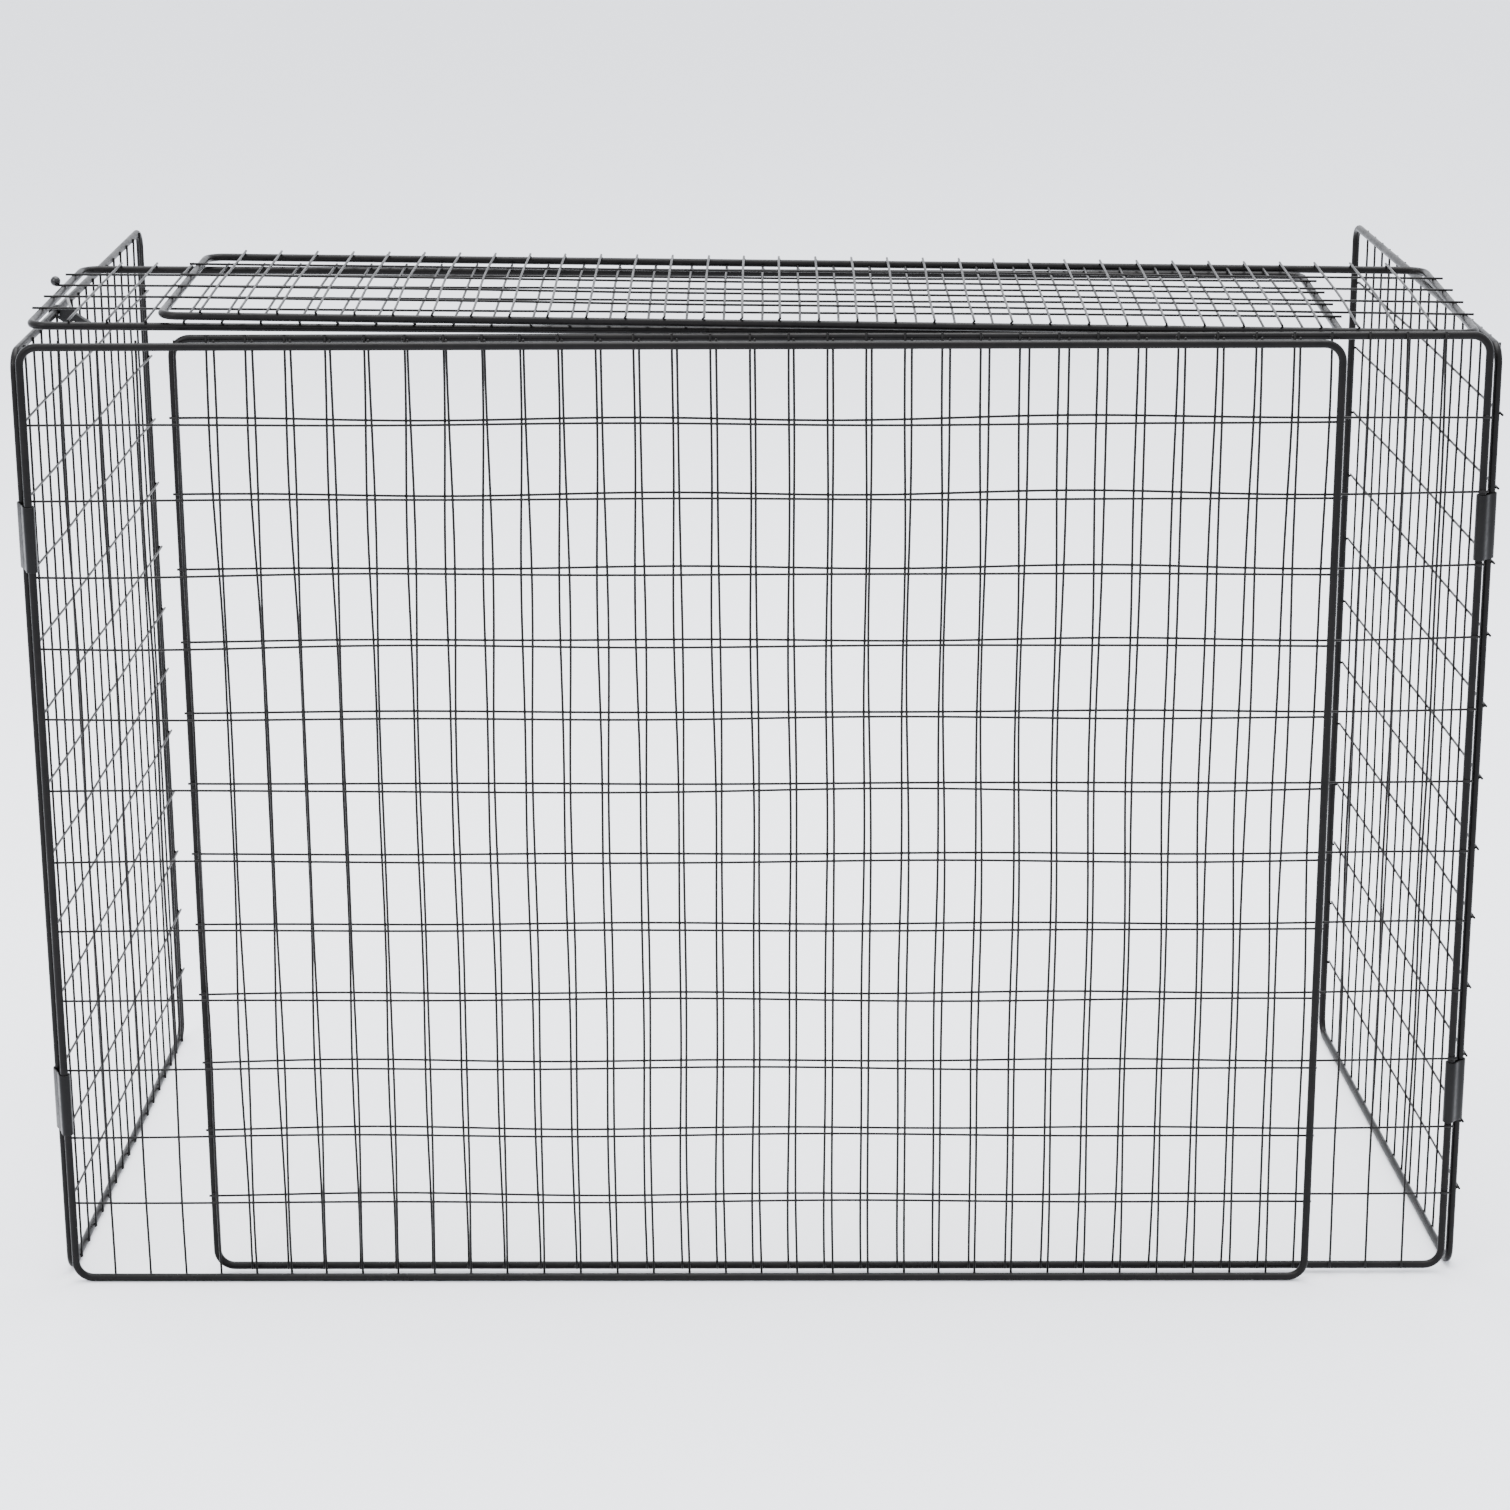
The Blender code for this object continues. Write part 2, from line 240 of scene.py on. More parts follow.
def settle(obj: bpy.types.Object, body: str, nodes: tuple[str, ...]) -> None:
    """Puts a piece on its body in place of its CAD nodes, and reports it.

    Args:
        obj: The piece.
        body: The moving body it rides on.
        nodes: The CAD nodes it replaces.
    """
    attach(obj, body)
    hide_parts(*nodes)
    LOG.info("%s: %d faces on %s", obj.name, len(obj.data.polygons), body)


# Finishes.


def group(name: str, inputs: dict[str, float | None],
          output: str) -> tuple[bpy.types.NodeTree, bpy.types.Node, bpy.types.Node]:
    """An empty shader node group.

    Args:
        name: The group's name.
        inputs: Socket names with their defaults; None makes a vector socket.
        output: The name of its one float output.

    Returns:
        The tree, its input node and its output node.
    """
    tree = bpy.data.node_groups.new(name, "ShaderNodeTree")
    for label, default in inputs.items():
        kind = "NodeSocketVector" if default is None else "NodeSocketFloat"
        socket = tree.interface.new_socket(label, in_out="INPUT", socket_type=kind)
        if default is not None:
            socket.default_value = default
    tree.interface.new_socket(output, in_out="OUTPUT", socket_type="NodeSocketFloat")
    return tree, tree.nodes.new("NodeGroupInput"), tree.nodes.new("NodeGroupOutput")


def feed(tree: bpy.types.NodeTree, socket: bpy.types.NodeSocket, value: Value) -> None:
    """Links a socket to an input, or sets the input to a number.

    Args:
        tree: The tree that holds the input.
        socket: The input.
        value: A socket or a number.
    """
    if isinstance(value, bpy.types.NodeSocket):
        tree.links.new(value, socket)
    else:
        socket.default_value = value


def math_node(tree: bpy.types.NodeTree, operation: str, *values: Value) -> bpy.types.NodeSocket:
    """Adds a Math node.

    Args:
        tree: Where it goes.
        operation: What it does, as Blender names it.
        *values: Its inputs, each a number or a socket.

    Returns:
        Its output.
    """
    node = tree.nodes.new("ShaderNodeMath")
    node.operation = operation
    for socket, value in zip(node.inputs, values):
        feed(tree, socket, value)
    return node.outputs[0]


def noise(tree: bpy.types.NodeTree, vector: bpy.types.NodeSocket, scale: Value,
          detail: float = 4) -> bpy.types.NodeSocket:
    """Adds a Noise Texture.

    Args:
        tree: Where it goes.
        vector: Where it is read.
        scale: Its scale.
        detail: Its number of octaves.

    Returns:
        Its value.
    """
    node = tree.nodes.new("ShaderNodeTexNoise")
    node.inputs["Detail"].default_value = detail
    tree.links.new(vector, node.inputs["Vector"])
    feed(tree, node.inputs["Scale"], scale)
    return node.outputs["Fac"]


def ramp(tree: bpy.types.NodeTree, value: bpy.types.NodeSocket, low: Value, high: Value,
         to_low: Value = 0.0, to_high: Value = 1.0) -> bpy.types.NodeSocket:
    """Adds a smooth Map Range.

    Args:
        tree: Where it goes.
        value: What it maps.
        low: The value that becomes to_low.
        high: The value that becomes to_high.
        to_low: The lower result.
        to_high: The higher result.

    Returns:
        The result.
    """
    node = tree.nodes.new("ShaderNodeMapRange")
    node.interpolation_type = "SMOOTHSTEP"
    for socket, given in zip(node.inputs, (value, low, high, to_low, to_high)):
        feed(tree, socket, given)
    return node.outputs["Result"]


def mottle_group() -> bpy.types.NodeTree:
    """Uneven gloss: two noises averaged and spread between Low and High."""
    tree, source, sink = group(
        "Mottle", {"Vector": None, "Scale": 40.0, "Low": 0.3, "High": 0.5}, "Value"
    )
    vector = source.outputs["Vector"]
    wide = noise(tree, vector, source.outputs["Scale"], 3)
    fine = noise(tree, vector, math_node(tree, "MULTIPLY", source.outputs["Scale"], 9.0), 2)
    mean = math_node(tree, "MULTIPLY", math_node(tree, "ADD", wide, fine), 0.5)
    spread = ramp(tree, mean, 0.35, 0.65, source.outputs["Low"], source.outputs["High"])
    tree.links.new(spread, sink.inputs["Value"])
    return tree


def chip_group() -> bpy.types.NodeTree:
    """Chips and scuffs in a coat: fine spots, kept only where a wide noise is high."""
    tree, source, sink = group("Chips", {"Vector": None, "Scale": 300.0, "Amount": 0.1}, "Mask")
    vector = source.outputs["Vector"]
    where = ramp(tree, noise(tree, vector, 6.0, 3), 0.52, 0.66)
    spots = noise(tree, vector, source.outputs["Scale"], 5)
    lower = math_node(tree, "MULTIPLY", source.outputs["Amount"], 0.4)
    edge = math_node(tree, "SUBTRACT", 0.78, lower)
    kept = ramp(tree, spots, edge, math_node(tree, "ADD", edge, 0.03))
    tree.links.new(math_node(tree, "MULTIPLY", where, kept), sink.inputs["Mask"])
    return tree


def dust_and_sheen_group() -> bpy.types.NodeTree:
    """Painted sheen and dust on what faces up: the normal's height to a power, broken by noise,
    times Amount. The lighter tops are partly dust and partly a painted highlight of the light from
    above.
    """
    tree, source, sink = group("Dust and sheen", {"Vector": None, "Amount": 0.2, "Scale": 60.0}, "Mask")
    geometry = tree.nodes.new("ShaderNodeNewGeometry")
    split = tree.nodes.new("ShaderNodeSeparateXYZ")
    tree.links.new(geometry.outputs["Normal"], split.inputs[0])
    facing = math_node(tree, "POWER", math_node(tree, "MAXIMUM", split.outputs["Z"], 0.0), 3.0)
    specks = noise(tree, source.outputs["Vector"], source.outputs["Scale"])
    broken = ramp(tree, specks, 0.3, 0.7, 0.45, 1)
    lying = math_node(tree, "MULTIPLY", facing, broken)
    mask = math_node(tree, "MULTIPLY", lying, source.outputs["Amount"])
    tree.links.new(mask, sink.inputs["Mask"])
    return tree


def grain_group() -> bpy.types.NodeTree:
    """Height of a sprayed or moulded surface: orange peel plus finer grain."""
    tree, source, sink = group("Grain", {"Vector": None, "Scale": 500.0, "Fine": 0.4}, "Height")
    vector = source.outputs["Vector"]
    peel = noise(tree, vector, source.outputs["Scale"], 1)
    fine = noise(tree, vector, math_node(tree, "MULTIPLY", source.outputs["Scale"], 5.0), 3)
    grains = math_node(tree, "MULTIPLY", fine, source.outputs["Fine"])
    tree.links.new(math_node(tree, "ADD", peel, grains), sink.inputs["Height"])
    return tree


class Effects:
    """The node groups that the finishes share, made once."""

    def __init__(self) -> None:
        """Builds the groups."""
        self.mottle = mottle_group()
        self.chips = chip_group()
        self.dust_and_sheen = dust_and_sheen_group()
        # dust with painted sheen on what faces up
        self.grain = grain_group()


@dataclass(frozen=True)
class Finish:
    """One finish: its colours, gloss, grain and wear.

    gloss holds the least and the greatest roughness, shine the specular level, and chips and dust
    say how much of each there is; the dust on what faces up is partly a painted sheen. bare is
    what shows in a chip.
    """

    name: str
    colour: tuple[float, float, float]
    tint: tuple[float, float, float]
    gloss: tuple[float, float] = (0.3, 0.45)
    metallic: float = 0.0
    coat: float = 0.0
    shine: float = 0.5
    grain_scale: float = 500.0
    grain_height: float = 0.00003
    chips: float = 0.0
    bare: tuple[float, float, float] = (0.3, 0.28, 0.26)
    # how much dust and painted sheen lightens what faces up
    dust_and_sheen: float = 0.1

    def place(self, tree: bpy.types.NodeTree, shared: bpy.types.NodeTree,
              **values: Value) -> bpy.types.NodeSocket:
        """Puts a shared group in the material with its own values.

        Args:
            tree: The material's tree.
            shared: The group.
            **values: The group's inputs by name.

        Returns:
            The group's output.
        """
        node = tree.nodes.new("ShaderNodeGroup")
        node.node_tree = shared
        for label, value in values.items():
            feed(tree, node.inputs[label], value)
        return node.outputs[0]

    def mix(self, tree: bpy.types.NodeTree, factor: bpy.types.NodeSocket,
            first: tuple | bpy.types.NodeSocket,
            second: tuple | bpy.types.NodeSocket) -> bpy.types.NodeSocket:
        """A colour between two.

        Args:
            tree: The material's tree.
            factor: 0 for the first colour, 1 for the second.
            first: A colour or a socket.
            second: A colour or a socket.

        Returns:
            The mixed colour.
        """
        node = tree.nodes.new("ShaderNodeMix")
        node.data_type = "RGBA"
        tree.links.new(factor, node.inputs["Factor"])
        for socket, colour in ((node.inputs[6], first), (node.inputs[7], second)):
            feed(tree, socket, (*colour, 1) if isinstance(colour, tuple) else colour)
        return node.outputs[2]

    def build(self, effects: Effects) -> bpy.types.Material:
        """Makes the material.

        Args:
            effects: The shared node groups.

        Returns:
            The material: base colour mottled towards the tint, then lightened where it faces up by
                dust and painted sheen, then chipped.
        """
        material = bpy.data.materials.new(self.name)
        material.use_nodes = True
        tree = material.node_tree
        shader = tree.nodes["Principled BSDF"]
        shader.inputs["Metallic"].default_value = self.metallic
        shader.inputs["Specular IOR Level"].default_value = self.shine
        shader.inputs["Coat Weight"].default_value = self.coat
        shader.inputs["Coat Roughness"].default_value = 0.12
        place = tree.nodes.new("ShaderNodeTexCoord").outputs["Object"]
        low, high = self.gloss
        rough = self.place(tree, effects.mottle, Vector=place, Scale=45.0, Low=low, High=high)
        blotch = self.place(tree, effects.mottle, Vector=place, Scale=18.0, Low=0.0, High=1.0)
        colour = self.mix(tree, blotch, self.colour, self.tint)
        # Painted sheen: what faces up is mixed towards light grey, partly dust and partly standing
        # in for the reflection of the light from above.
        dust_and_sheen_mask = self.place(tree, effects.dust_and_sheen, Vector=place, Amount=self.dust_and_sheen, Scale=70.0)
        colour = self.mix(tree, dust_and_sheen_mask, colour, (0.42, 0.42, 0.44))
        if self.chips:
            mask = self.place(tree, effects.chips, Vector=place, Scale=420.0, Amount=self.chips)
            colour = self.mix(tree, mask, colour, self.bare)
            rough = math_node(tree, "ADD", rough, math_node(tree, "MULTIPLY", mask, 0.2))
        tree.links.new(colour, shader.inputs["Base Color"])
        tree.links.new(rough, shader.inputs["Roughness"])
        bump = tree.nodes.new("ShaderNodeBump")
        bump.inputs["Distance"].default_value = self.grain_height
        bump.inputs["Strength"].default_value = 0.6
        height = self.place(tree, effects.grain, Vector=place, Scale=self.grain_scale, Fine=0.4)
        tree.links.new(height, bump.inputs["Height"])
        tree.links.new(bump.outputs["Normal"], shader.inputs["Normal"])
        return material


ROD_COAT = Finish("rod coat", (0.0022, 0.002, 0.0021), (0.0042, 0.0036, 0.0035), (0.26, 0.42),
                  coat=0.01, shine=0.1, grain_scale=420, grain_height=0.00004, chips=0.06,
                  bare=(0.06, 0.055, 0.05), dust_and_sheen=0.012)
WIRE_COAT = Finish("wire coat", (0.0022, 0.002, 0.0021), (0.0045, 0.0038, 0.0036), (0.3, 0.46),
                   coat=0.01, shine=0.14, grain_scale=700, grain_height=0.00003, chips=0.03,
                   bare=(0.06, 0.055, 0.05), dust_and_sheen=0.025)
SHEET_COAT = Finish("sheet coat", (0.002, 0.002, 0.0022), (0.0036, 0.0034, 0.0033), (0.28, 0.44),
                    coat=0.01, shine=0.12, grain_scale=380, grain_height=0.00004, chips=0.1,
                    bare=(0.06, 0.055, 0.05), dust_and_sheen=0.012)
KNOB_PLASTIC = Finish("knob plastic", (0.002, 0.002, 0.0023), (0.003, 0.003, 0.0033), (0.12, 0.22),
                      shine=0.3, grain_scale=300, grain_height=0.00001, dust_and_sheen=0.008)
HOOK_PLASTIC = Finish("hook plastic", (0.003, 0.003, 0.0033), (0.005, 0.005, 0.0053), (0.45, 0.6),
                      shine=0.2, grain_scale=900, grain_height=0.00005, dust_and_sheen=0.012)
ZINC = Finish("zinc", (0.5, 0.5, 0.49), (0.36, 0.36, 0.35), (0.34, 0.52), metallic=1.0,
              grain_scale=1200, grain_height=0.00003, chips=0.3, bare=(0.16, 0.13, 0.1), dust_and_sheen=0.05)


# Panels.


@dataclass
class Panel:
    """A rim of bent rod with a welded wire mesh on one side.

    It is drawn in its own XZ plane, with its lower left rod corner at the origin. width and
    height are between rod centres. first is where the first upright and the first cross wire
    lie, and ends is how far the wires reach past the rods: the cross wires at left and right,
    the uprights at the top and at the bottom. bow is how far the mesh sags off its plane
    between the rods, and wobble how crooked its wires are. bent is how far the panel's low
    left, low right, top left and top right corners are bent out of its plane.
    """

    name: str
    width: float
    height: float
    place: Matrix
    side: WeldSide
    seed: int
    first: tuple[float, float]
    pitch: tuple[float, float] = (PITCH_WIDE, PITCH_HIGH)
    ends: tuple[float, float, float] = (0.0005, 0.0005, -0.0022)
    wobble: float = 0.0009
    bow: float = 0.0008
    uprights_outside: bool = True
    bent: tuple[float, float, float, float] = (0.0, 0.0, 0.0, 0.0)

    def level(self, outer: bool) -> float:
        """Distance of a wire layer's centres from the rim's plane, the welds sunk in."""
        return self.side.value * (RIM_RADIUS + WIRE_RADIUS - ROD_SINK
                                  + outer * (2 * WIRE_RADIUS - WIRE_SINK))

    @property
    def cross_level(self) -> float:
        """Distance of the cross wires' centres from the rim's plane."""
        return self.level(not self.uprights_outside)

    @property
    def upright_level(self) -> float:
        """Distance of the uprights' centres from the rim's plane."""
        return self.level(self.uprights_outside)

    def places(self, axis: int) -> np.ndarray:
        """Wire places: from the first on at the pitch, as many as fit, each a little off.

        Args:
            axis: 0 for the uprights' X, 1 for the cross wires' Z.

        Returns:
            The places, shape (wires,).
        """
        size, first, pitch = (self.width, self.height)[axis], self.first[axis], self.pitch[axis]
        places = first + np.arange(math.floor((size - first - LAST_ROOM) / pitch) + 1) * pitch
        rng = np.random.default_rng(self.seed * 7 + 2 - axis)
        return places + rng.normal(0, 0.0002, len(places))

    def lean(self, x: np.ndarray, z: np.ndarray) -> np.ndarray:
        """How far points are bent off the panel's plane, bilinear between its corners.

        Args:
            x: The points' X.
            z: The points' Z.

        Returns:
            The distances along Y.
        """
        u, v = np.clip(x / self.width, 0, 1), np.clip(z / self.height, 0, 1)
        low_left, low_right, top_left, top_right = self.bent
        low = low_left + (low_right - low_left) * u
        return low + (top_left + (top_right - top_left) * u - low) * v

    def crooked(self, x: np.ndarray, z: np.ndarray) -> tuple[np.ndarray, ...]:
        """How far a mesh point strays in X, off the plane, and in Z.

        The strays are smooth waves, so that wires still meet where they cross. Off the plane
        they fade to nothing at the rods: sqrt(sin(pi x / width) * sin(pi z / height)).

        Args:
            x: The points' X.
            z: The points' Z.

        Returns:
            The strays in X, Y and Z.
        """
        inside = np.sin(np.pi * np.clip(x / self.width, 0, 1)) * np.sin(
            np.pi * np.clip(z / self.height, 0, 1)
        )
        dx = self.wobble * waves(x, z, self.seed, 0.26)
        dz = self.wobble * waves(x, z, self.seed + 1, 0.22)
        dy = self.bow * inside**0.5 * waves(x, z, self.seed + 2, 0.4) + self.lean(x, z)
        return dx, dy, dz

    def crosses(self) -> np.ndarray:
        """Centre lines of the cross wires, shape (wires, points, 3)."""
        z = self.places(1)[:, None]
        reach = RIM_RADIUS + self.ends[0]
        x = np.linspace(-reach, self.width + reach, round(self.width / WIRE_STEP))[None]
        _, dy, dz = self.crooked(x, z)
        return np.stack(np.broadcast_arrays(x, self.cross_level + dy, z + dz), -1)

    def uprights(self) -> np.ndarray:
        """Centre lines of the uprights, shape (wires, points, 3)."""
        x = self.places(0)[:, None]
        low, high = -RIM_RADIUS - self.ends[2], self.height + RIM_RADIUS + self.ends[1]
        z = np.linspace(low, high, max(8, round(self.height / WIRE_STEP)))[None]
        dx, dy, _ = self.crooked(x, z)
        return np.stack(np.broadcast_arrays(x + dx, self.upright_level + dy, z), -1)

    def round_wires(self, lines: np.ndarray, along: int) -> Surface:
        """Round wires on centre lines, with sheared ends that are slightly narrowed.

        Args:
            lines: The centre lines, shape (wires, points, 3).
            along: The axis that the wires run along: 0 for X, 2 for Z.

        Returns:
            Points and faces.
        """
        tip_share, tip_length = 0.72, 0.00035
        scale = np.ones(lines.shape[1] + 2)
        scale[[0, -1]] = tip_share
        tips = lines[:, [0, -1]].copy()
        step = np.zeros(3)
        step[along] = tip_length
        tips = np.stack([tips[:, 0] - step, tips[:, 1] + step], 1)
        path = np.concatenate([tips[:, :1], lines, tips[:, 1:]], 1)
        first, second = (np.eye(3)[k] for k in ((1, 2) if along == 0 else (0, 1)))
        ring = circle(WIRE_RADIUS, 8)
        return sweep(path, first, second, scale[:, None, None] * ring[None])

    def crossing_welds(self) -> Surface:
        """Low nuggets where an upright lies on a cross wire."""
        x, z = (grid.ravel() for grid in np.meshgrid(self.places(0), self.places(1)))
        dx, dy, dz = self.crooked(x, z)
        y = (self.cross_level + self.upright_level) / 2 + dy
        return blobs(np.stack([x + dx, y, z + dz], -1), CROSS_WELD)

    def rim_welds(self) -> Surface:
        """Nuggets where the wires are welded to the rod, higher under the outer layer."""
        x, z = self.places(0), self.places(1)
        ends = np.array([[a, 0, b] for b in z for a in (0, self.width)])
        feet = np.array([[a, 0, b] for a in x for b in (0, self.height)])
        on_rod = self.side.value * (RIM_RADIUS + 0.0001)
        apart = self.side.value * (RIM_RADIUS + 0.0003)
        ends[:, 1] = on_rod if self.uprights_outside else apart
        feet[:, 1] = apart if self.uprights_outside else on_rod
        for points in (ends, feet):
            points[:, 1] += self.lean(points[:, 0], points[:, 2])
        return join([blobs(ends, SIDE_WELD), blobs(feet, FOOT_WELD)])

    def rim_path(self) -> tuple[np.ndarray, np.ndarray]:
        """The rod's centre line: quarter circles of radius BEND joined by straights.

        Returns:
            Its points and their outward directions, in the XZ plane.
        """
        straight = 24
        points, outward = [], []
        corners = ((self.width - BEND, BEND, -90), (self.width - BEND, self.height - BEND, 0),
                   (BEND, self.height - BEND, 90), (BEND, BEND, 180))
        for i, (x, z, start) in enumerate(corners):
            angle = np.radians(start + np.linspace(0, 90, 11))
            out = np.stack([np.cos(angle), 0 * angle, np.sin(angle)], -1)
            bend = np.array([x, 0, z]) + BEND * out
            points.append(bend)
            outward.append(out)
            x2, z2, after = corners[(i + 1) % 4]
            start_next = np.array([x2, 0, z2]) + BEND * out[-1]
            share = np.linspace(0, 1, straight + 2)[1:-1, None]
            points.append(bend[-1] + share * (start_next - bend[-1]))
            outward.append(np.repeat(out[-1:], straight, 0))
        return np.concatenate(points), np.concatenate(outward)

    def rim(self) -> Surface:
        """The bent rod: a circle carried along the centre line, fuller at its butt weld.

        The weld is a bell curve round one ring of the first straight, another for each panel.
        """
        path, outward = self.rim_path()
        seam = self.seed * 29 % 12 + 17
        scale = 1 + 0.045 * np.exp(-0.5 * ((np.arange(len(path)) - seam) / 0.45) ** 2)
        profile = scale[:, None, None] * circle(RIM_RADIUS, 16)[None]
        normal = np.array([0.0, 1.0, 0.0])
        path[:, 1] = self.lean(path[:, 0], path[:, 2])
        return sweep(path[None], outward[None], -normal, profile, closed=True)

    def build(self, rod: bpy.types.Material, wire: bpy.types.Material) -> None:
        """Makes the rim and the mesh, on the panel's own body.

        Args:
            rod: The rim's finish.
            wire: The mesh's finish.
        """
        rim = piece(f"{self.name}_bent_rim", *self.rim(), self.place, rod)
        settle(rim, self.name, (f"{self.name}_rim",))
        shells = [self.round_wires(self.crosses(), 0), self.round_wires(self.uprights(), 2),
                  self.crossing_welds(), self.rim_welds()]
        mesh = piece(f"{self.name}_welded_mesh", *join(shells), self.place, wire)
        settle(mesh, self.name, (f"{self.name}_mesh",))


# Sleeves.


@dataclass
class Sleeve:
    """A strip of sheet rolled round a front panel's end rod and a side panel's hinge rod.

    waist is how far its flanks are pressed in, and seam_gap how far its edges stay apart.
    """

    node: str
    body: str
    rod: Vector
    hinge: Vector
    bore: float = 0.0031
    wall: float = 0.0009
    waist: float = 0.0007
    seam_gap: float = 0.0007

    def path(self) -> tuple[np.ndarray, np.ndarray]:
        """The strip's middle line and its outward directions.

        Two half circles round the rods, joined by flanks that are pressed in towards each
        other by waist * sin^2. It starts and ends at the seam, in the middle of one flank.

        Returns:
            Its points and their outward directions, in the XY plane.
        """
        half, flank = 13, 9
        along = np.array(self.hinge - self.rod)[:2]
        length = np.linalg.norm(along)
        along = along / length
        across = np.array([-along[1], along[0]])
        radius = self.bore + self.wall / 2
        start = np.array(self.rod)[:2]
        angle = np.linspace(-np.pi / 2, np.pi / 2, half)[:, None]
        far = np.cos(angle) * along + np.sin(angle) * across
        near = -far
        share = np.linspace(0, 1, flank + 2)[1:-1, None]
        press = radius - self.waist * np.sin(np.pi * share) ** 2
        flank_out = start + length * (1 - share) * along + press * across
        flank_back = start + length * share * along - press * across
        points = np.concatenate([start + length * along + radius * far, flank_out,
                                 start + radius * near, flank_back])
        out = np.concatenate([far, across + 0 * flank_out, near, -across + 0 * flank_back])
        turn = -(half + flank // 2)
        points, out = np.roll(points, turn, 0), np.roll(out, turn, 0)
        heading = (points[0] - points[-1]) / np.linalg.norm(points[0] - points[-1])
        middle = (points[0] + points[-1]) / 2
        points[0] = middle + heading * self.seam_gap / 2
        points[-1] = middle - heading * self.seam_gap / 2
        return points, out

    def build(self, material: bpy.types.Material) -> None:
        """Rolls the strip: a rounded wall-by-height section carried round both rods.

        Args:
            material: The sheet's finish.
        """
        low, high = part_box(self.node)
        points, out = self.path()
        middle = (low.z + high.z) / 2
        path = np.column_stack([points, np.full(len(points), middle)])
        outward = np.column_stack([out, np.zeros(len(out))])
        section = rounded_box(self.wall, high.z - low.z, 0.0004, 3)
        up = np.array([0.0, 0.0, 1.0])
        roll = sweep(path[None], outward[None], up, section)
        obj = piece(f"{self.node}_rolled", *roll, Matrix(), material)
        settle(obj, self.body, (self.node,))


# Lid clip.


@dataclass
class LidClip:
    """The hook on the left side's top rod, its strap and pin, and the knob on the lid's wire.

    The hook is drawn round the rod, X inboard and Z up. grip is how thick it is round the rod.
    """

    place: Matrix
    width: float = 0.006
    bore: float = 0.0031
    grip: float = 0.0017

    def hook_outline(self) -> np.ndarray:
        """The hook in XZ: a C round the rod, a block inboard of it and a nose."""

        def arc(radius: float, start: float, stop: float, steps: int) -> np.ndarray:
            """Points radius * (cos a, sin a) with a from start to stop, in degrees."""
            angle = np.radians(np.linspace(start, stop, steps))
            return radius * np.stack([np.cos(angle), np.sin(angle)], -1)

        outer = self.bore + self.grip
        nose = np.array([[0.0082, -0.0088], [0.0090, -0.0100], [0.0140, -0.0101],
                         [0.0185, -0.0091], [0.0224, -0.0080], [0.0236, -0.0073],
                         [0.0228, -0.0066], [0.0185, -0.0040], [0.0143, -0.0010],
                         [0.0134, 0.0022], [0.0126, 0.0031], [0.0076, 0.0031]])
        return np.concatenate([arc(self.bore, 215, -90, 24), arc(outer, -88, -64, 4), nose,
                               arc(outer, 48, 205, 14)])

    def hook(self) -> Surface:
        """The outline carried along the rod, its two faces drawn in by a small round.

        Each row is the outline moved inward by draw * (1 - cos a), at draw * (1 - sin a) from
        the face.
        """
        outline = self.hook_outline()
        count = len(outline)
        tangent = np.roll(outline, -1, 0) - np.roll(outline, 1, 0)
        tangent /= np.linalg.norm(tangent, axis=1)[:, None]
        inward = np.stack([-tangent[:, 1], tangent[:, 0]], -1)
        turned = np.radians([90, 60, 30, 0])
        draw = 0.00045
        levels = [(-self.width / 2 + draw * (1 - np.sin(a)), draw * (1 - np.cos(a)))
                  for a in turned]
        levels += [(-y, inset) for y, inset in reversed(levels)]
        area = np.cross(outline, np.roll(outline, -1, 0)).sum()
        sign = 1.0 if area > 0 else -1.0
        rows = [np.column_stack([outline[:, 0] + sign * inset * inward[:, 0], np.full(count, y),
                                 outline[:, 1] + sign * inset * inward[:, 1]])
                for y, inset in levels]
        index = np.arange(len(rows) * count).reshape(len(rows), count)
        here, ahead = index[:-1], index[1:]
        quads = np.stack([here, np.roll(here, -1, 1), np.roll(ahead, -1, 1), ahead], -1)
        faces = quads.reshape(-1, 4).tolist()
        faces += [index[0, ::-1].tolist(), index[-1].tolist()]
        if sign > 0:
            faces = [face[::-1] for face in faces]
        return np.concatenate(rows), faces

    def strap(self) -> Surface:
        """A thin flat strip that leans outboard and curls at its tip."""
        t = np.linspace(0, 1, 22)
        height = -0.0026 + 0.0119 * t
        lean = -0.249 * height - 0.0006 * np.clip((t - 0.75) / 0.25, 0, 1) ** 2
        path = np.column_stack([0.0103 + lean, 0 * t, 0.0030 + height])
        tangent = np.gradient(path, axis=0)
        tangent /= np.linalg.norm(tangent, axis=1)[:, None]
        across = np.array([0.0, 1.0, 0.0])
        thick = np.cross(across, tangent)
        narrow = 1 - 0.35 * np.clip((t - 0.86) / 0.14, 0, 1) ** 2
        section = rounded_box(0.0009, 0.0045, 0.0003, 3)
        sections = np.stack([section * [1, k] for k in narrow])
        return sweep(path[None], thick[None], across, sections)

    def lathe(self, profile: np.ndarray, sides: int = 20) -> Surface:
        """Turns a profile about the Y axis and closes both ends with a face.

        Args:
            profile: (y, radius) pairs.
            sides: Of each ring.

        Returns:
            Points and faces.
        """
        path = np.column_stack([0 * profile[:, 0], profile[:, 0], 0 * profile[:, 0]])
        rings = profile[:, 1][:, None, None] * circle(1.0, sides)[None]
        return sweep(path[None], np.array([0.0, 0, 1]), np.array([1.0, 0, 0]), rings)

    def pin(self) -> Surface:
        """A pin with low domed heads."""
        half = self.width / 2 + 0.0008
        dome = np.radians(np.linspace(80, 0, 6))
        head = np.stack([-half + 0.0005 * (1 - np.sin(dome)), 0.0009 * np.cos(dome) + 0.0001], -1)
        return self.lathe(np.concatenate([head, head[::-1] * [-1, 1]]))

